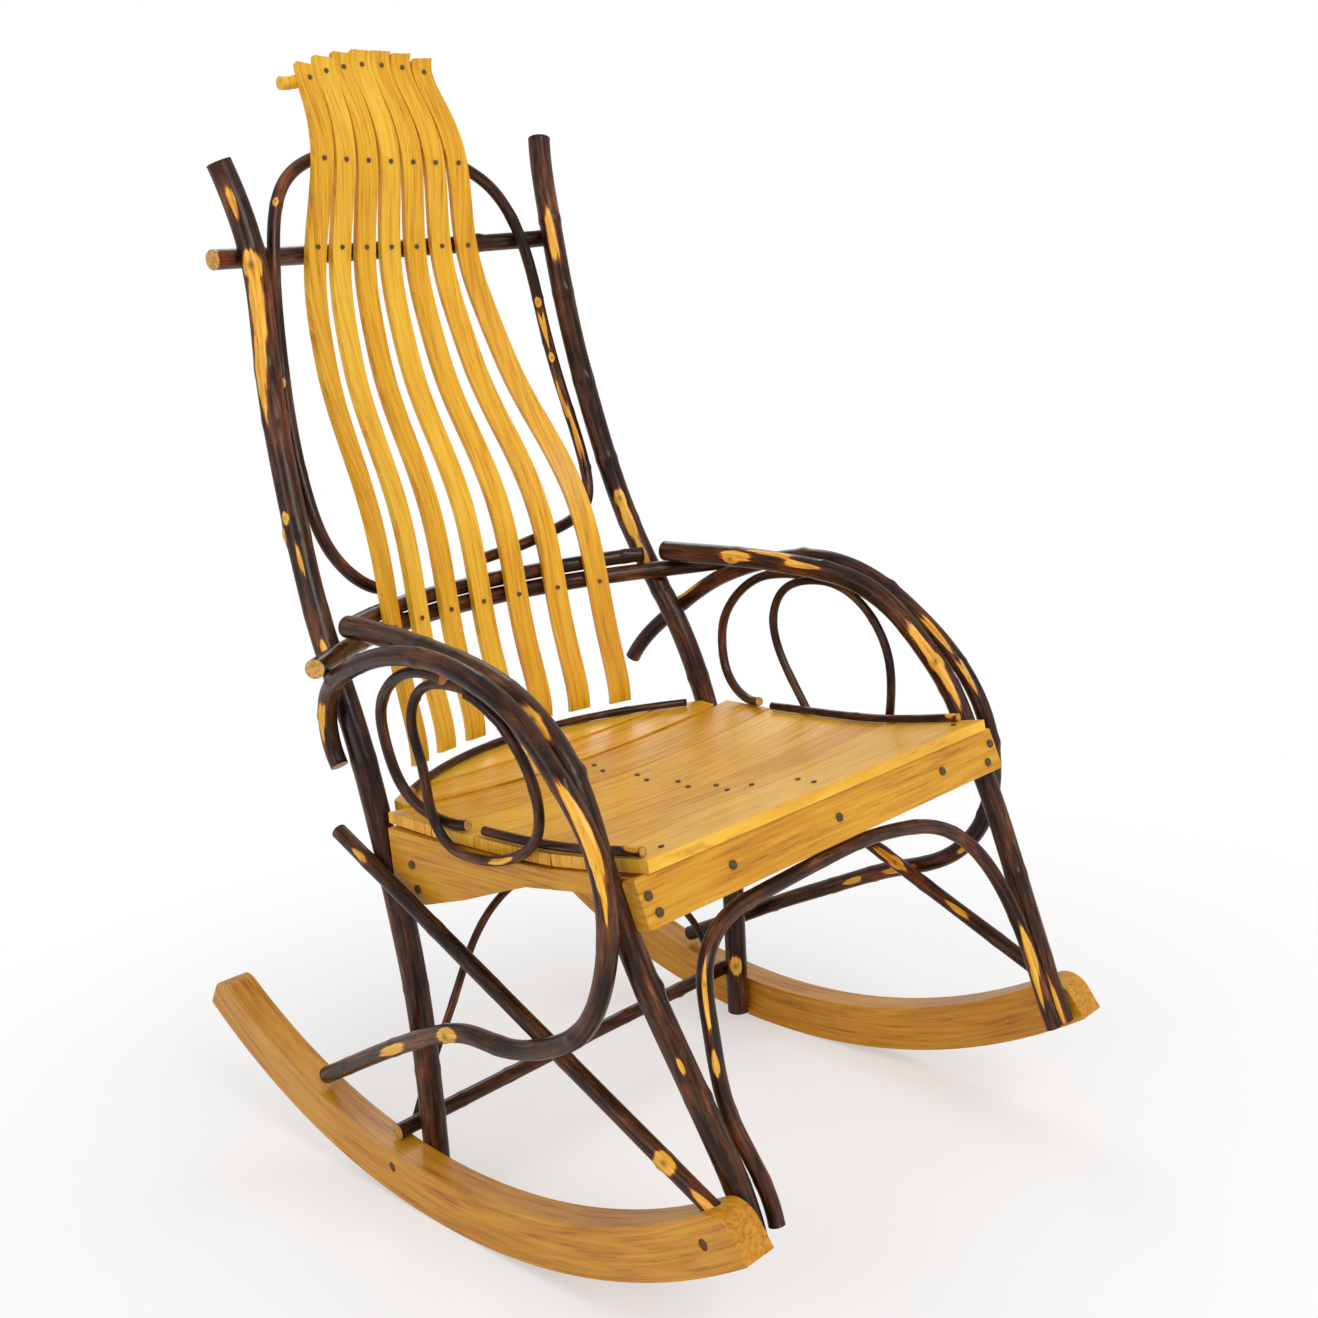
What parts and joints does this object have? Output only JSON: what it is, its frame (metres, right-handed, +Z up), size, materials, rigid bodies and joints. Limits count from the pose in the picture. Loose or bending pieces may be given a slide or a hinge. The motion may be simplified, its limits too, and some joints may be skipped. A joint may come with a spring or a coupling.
{
  "type": "rocking chair",
  "caption": "Rustic rocking chair of bent bark-covered saplings with hooped arms, a tall fanned back of thin oak slats, a dished board seat and curved oak rockers.",
  "frame": {"origin": "on the floor, midway between the two lines where the rockers touch it at rest", "axes": "+Z up; -Y the way the sitter faces; +X towards the sitter's left"},
  "size_m": [0.6181, 0.842, 1.2003],
  "materials": {
    "bark": "varnished sapling bark",
    "dark_steel": "dull dark steel",
    "rail_oak": "varnished oak",
    "rocker_oak": "varnished oak",
    "seat_oak": "varnished oak",
    "slat_oak": "varnished oak"
  },
  "bodies": {
    "root": {"arm_loop_left": "bark", "arm_loop_right": "bark", "arm_ring_left": "bark", "arm_ring_right": "bark", "arm_twig_left": "bark", "arm_twig_right": "bark", "back_hoop": "bark", "back_nails": "dark_steel", "back_post_left": "bark", "back_post_right": "bark", "back_slat_1": "slat_oak", "back_slat_2": "slat_oak", "back_slat_3": "slat_oak", "back_slat_4": "slat_oak", "back_slat_5": "slat_oak", "back_slat_6": "slat_oak", "back_slat_7": "slat_oak", "crest_rail": "slat_oak", "front_hoop": "bark", "front_leg_left": "bark", "front_leg_right": "bark", "lower_back_rail": "bark", "lumbar_rail": "bark", "rail_screws": "dark_steel", "rear_hoop": "bark", "rear_stretcher": "bark", "rocker_left": "rocker_oak", "rocker_plugs": "rocker_oak", "rocker_right": "rocker_oak", "seat_board_1": "seat_oak", "seat_board_2": "seat_oak", "seat_board_3": "seat_oak", "seat_board_4": "seat_oak", "seat_board_5": "seat_oak", "seat_board_6": "seat_oak", "seat_board_7": "seat_oak", "seat_board_8": "seat_oak", "seat_front_rail": "rail_oak", "seat_middle_rail": "rail_oak", "seat_nails": "dark_steel", "seat_rear_rail": "rail_oak", "seat_side_rail_left": "rail_oak", "seat_side_rail_right": "rail_oak", "seat_trim_left": "bark", "seat_trim_rear": "bark", "seat_trim_right": "bark", "side_brace_left": "bark", "side_brace_right": "bark", "top_back_rail": "bark"}
  },
  "joints": []
}
